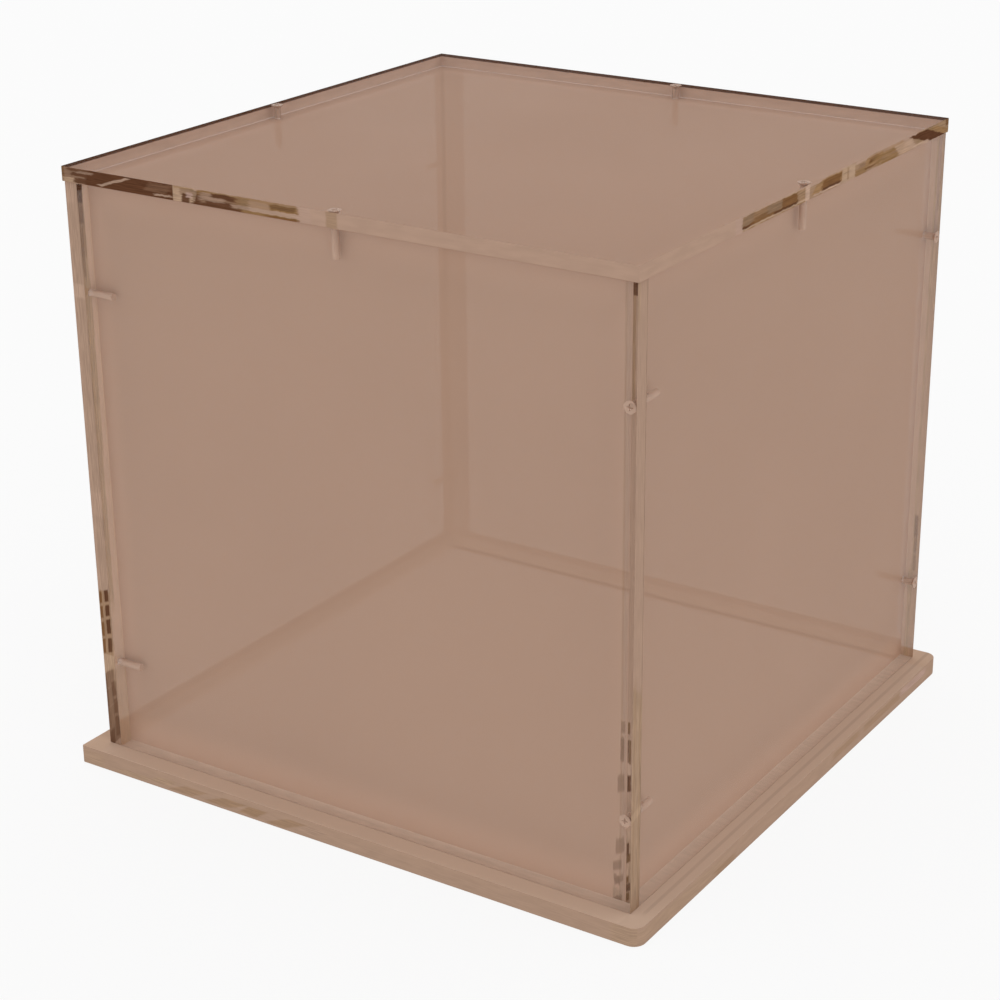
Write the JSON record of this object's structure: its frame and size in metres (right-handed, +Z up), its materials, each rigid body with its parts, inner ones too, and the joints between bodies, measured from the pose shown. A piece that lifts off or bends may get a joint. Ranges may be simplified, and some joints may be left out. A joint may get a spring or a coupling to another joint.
{
  "type": "acrylic display cube",
  "caption": "Bronze-tinted acrylic display cube: a screwed cover of four walls and a lid that lifts off a wider flat base plate, for showing a small exhibit.",
  "frame": {"origin": "centre of the base plate's underside", "axes": "+Z up, -Y the front wall, +X the right wall"},
  "size_m": [0.2164, 0.2164, 0.2047],
  "materials": {
    "base_acrylic": "polished bronze-tinted acrylic, diamond-cut edges",
    "wall_acrylic": "polished bronze-tinted acrylic, diamond-cut edges",
    "lid_acrylic": "polished bronze-tinted acrylic, diamond-cut edges",
    "clear_screw_plastic": "moulded clear plastic"
  },
  "bodies": {
    "base": {"base_plate": "base_acrylic"},
    "cover": {"lid_panel": "lid_acrylic", "front_wall": "wall_acrylic", "right_wall": "wall_acrylic", "back_wall": "wall_acrylic", "left_wall": "wall_acrylic", "lid_screw_front": "clear_screw_plastic", "lid_screw_right": "clear_screw_plastic", "lid_screw_back": "clear_screw_plastic", "lid_screw_left": "clear_screw_plastic", "corner_screw_front_right_lower": "clear_screw_plastic", "corner_screw_front_right_upper": "clear_screw_plastic", "corner_screw_back_right_lower": "clear_screw_plastic", "corner_screw_back_right_upper": "clear_screw_plastic", "corner_screw_back_left_lower": "clear_screw_plastic", "corner_screw_back_left_upper": "clear_screw_plastic", "corner_screw_front_left_lower": "clear_screw_plastic", "corner_screw_front_left_upper": "clear_screw_plastic"}
  },
  "joints": [
    {"name": "cover_lift", "type": "slide", "parent": "base", "child": "cover", "axis": [0, 0, 1], "range_m": [0, 0.21]}
  ]
}
